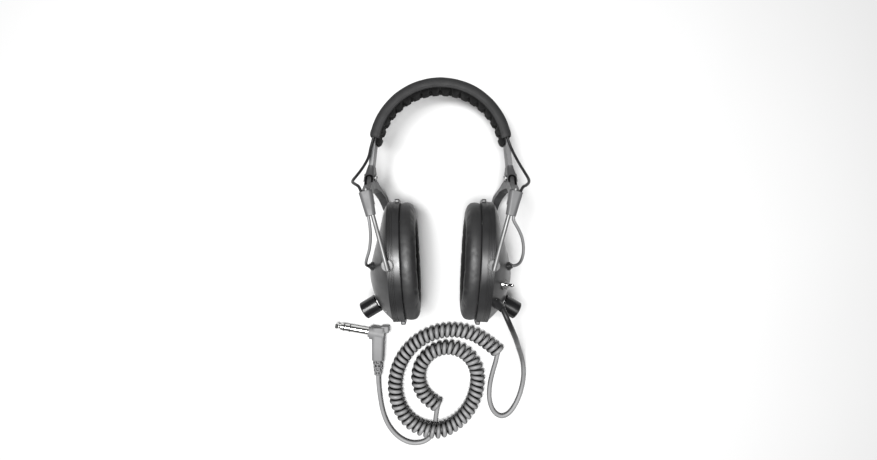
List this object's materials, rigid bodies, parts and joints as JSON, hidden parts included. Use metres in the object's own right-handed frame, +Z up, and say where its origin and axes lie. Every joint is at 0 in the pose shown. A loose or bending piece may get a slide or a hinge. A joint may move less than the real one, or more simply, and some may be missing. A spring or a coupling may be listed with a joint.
{
  "type": "radio headphones",
  "caption": "Circumaural radio headphones with padded headband, forked sliding yokes, volume knobs, mono-stereo switch and a curly cord to a right-angle phone plug.",
  "frame": {"origin": "on the surface below the middle of the headset's box, without the free cord and plug", "axes": "+Y from the ear cups to the headband's crown, +X to the cup with the switch, +Z up from the surface the headset lies on"},
  "size_m": [0.1702, 0.3104, 0.0944],
  "materials": {
    "shell_plastic": "satin moulded ABS",
    "baffle_plastic": "matt",
    "cushion_leatherette": "soft leatherette",
    "steel_rod": "bright drawn wire",
    "fork_plastic": "satin",
    "bush_plastic": "satin",
    "foam": "open cell foam",
    "magnet_steel": "plated",
    "diaphragm_film": "thin film",
    "knob_plastic": "semi gloss",
    "lead_rubber": "matt",
    "strap_metal": "satin paint",
    "cover_leatherette": "fine grain",
    "pad_leatherette": "soft fine grain",
    "rivet_steel": "dark",
    "toggle_chrome": "polished",
    "switch_can": "plated",
    "board": "laminate",
    "cord_rubber": "satin",
    "plug_rubber": "satin moulded",
    "plug_metal": "nickel plate",
    "insulator_plastic": "moulded"
  },
  "bodies": {
    "headband": {"headband_strap": "strap_metal", "headband_cover": "cover_leatherette", "headband_pad": "pad_leatherette", "bridge_lead": "lead_rubber", "fork_left": "fork_plastic", "fork_right": "fork_plastic", "fork_rivets": "rivet_steel", "lead_loop_left": "lead_rubber", "lead_loop_right": "lead_rubber"},
    "stirrup_right": {"front_rod_right": "steel_rod", "rear_rod_right": "steel_rod", "cup_lead_right": "lead_rubber"},
    "cup_right": {"cup_shell_right": "shell_plastic", "pivot_bushes_right": "bush_plastic", "baffle_plate_right": "baffle_plastic", "cup_screws_right": "magnet_steel", "ear_cushion_right": "cushion_leatherette", "foam_screen_right": "foam", "driver_frame_right": "baffle_plastic", "driver_diaphragm_right": "diaphragm_film", "driver_magnet_right": "magnet_steel", "volume_pot_right": "magnet_steel", "pot_nut_right": "magnet_steel", "lead_grommet_right": "lead_rubber", "toggle_body": "switch_can", "toggle_nut": "toggle_chrome", "cord_gland": "lead_rubber", "wiring_board": "board", "cord_lead": "cord_rubber", "cord_coil": "cord_rubber", "cord_tail": "cord_rubber", "plug_housing": "plug_rubber", "plug_cap": "plug_rubber", "plug_relief": "plug_rubber", "plug_sleeve": "plug_metal", "plug_insulators": "insulator_plastic", "plug_ring": "plug_metal", "plug_tip": "plug_metal"},
    "knob_right": {"volume_knob_right": "knob_plastic", "pot_shaft_right": "magnet_steel"},
    "stirrup_left": {"front_rod_left": "steel_rod", "rear_rod_left": "steel_rod", "cup_lead_left": "lead_rubber"},
    "cup_left": {"cup_shell_left": "shell_plastic", "pivot_bushes_left": "bush_plastic", "baffle_plate_left": "baffle_plastic", "cup_screws_left": "magnet_steel", "ear_cushion_left": "cushion_leatherette", "foam_screen_left": "foam", "driver_frame_left": "baffle_plastic", "driver_diaphragm_left": "diaphragm_film", "driver_magnet_left": "magnet_steel", "volume_pot_left": "magnet_steel", "pot_nut_left": "magnet_steel", "lead_grommet_left": "lead_rubber"},
    "knob_left": {"volume_knob_left": "knob_plastic", "pot_shaft_left": "magnet_steel"},
    "toggle": {"toggle_lever": "toggle_chrome"}
  },
  "joints": [
    {"name": "height_right", "type": "slide", "parent": "headband", "child": "stirrup_right", "axis": [-0.2613, -0.9652, 0], "range_m": [-0.009, 0.012], "deforming": ["lead_loop_right"]},
    {"name": "cup_tilt_right", "type": "hinge", "parent": "stirrup_right", "child": "cup_right", "pos_m": [0.0382, -0.0469, 0.0472], "axis": [0, 0, 1], "range_deg": [-12, 12], "deforming": ["cup_lead_right"]},
    {"name": "volume_right", "type": "hinge", "parent": "cup_right", "child": "knob_right", "pos_m": [0.0479, -0.0783, 0.0472], "axis": [0.8601, -0.5101, 0], "range_deg": [-150, 150]},
    {"name": "height_left", "type": "slide", "parent": "headband", "child": "stirrup_left", "axis": [0.2613, -0.9652, 0], "range_m": [-0.009, 0.012], "deforming": ["lead_loop_left"]},
    {"name": "cup_tilt_left", "type": "hinge", "parent": "stirrup_left", "child": "cup_left", "pos_m": [-0.0382, -0.0469, 0.0472], "axis": [0, 0, 1], "range_deg": [-12, 12], "deforming": ["cup_lead_left"]},
    {"name": "volume_left", "type": "hinge", "parent": "cup_left", "child": "knob_left", "pos_m": [-0.0479, -0.0783, 0.0472], "axis": [-0.8601, -0.5101, 0], "range_deg": [-150, 150]},
    {"name": "stereo_mono_toggle", "type": "hinge", "parent": "cup_right", "child": "toggle", "pos_m": [0.04736, -0.0621, 0.0726], "axis": [0, 1, 0], "range_deg": [-12, 12]}
  ]
}
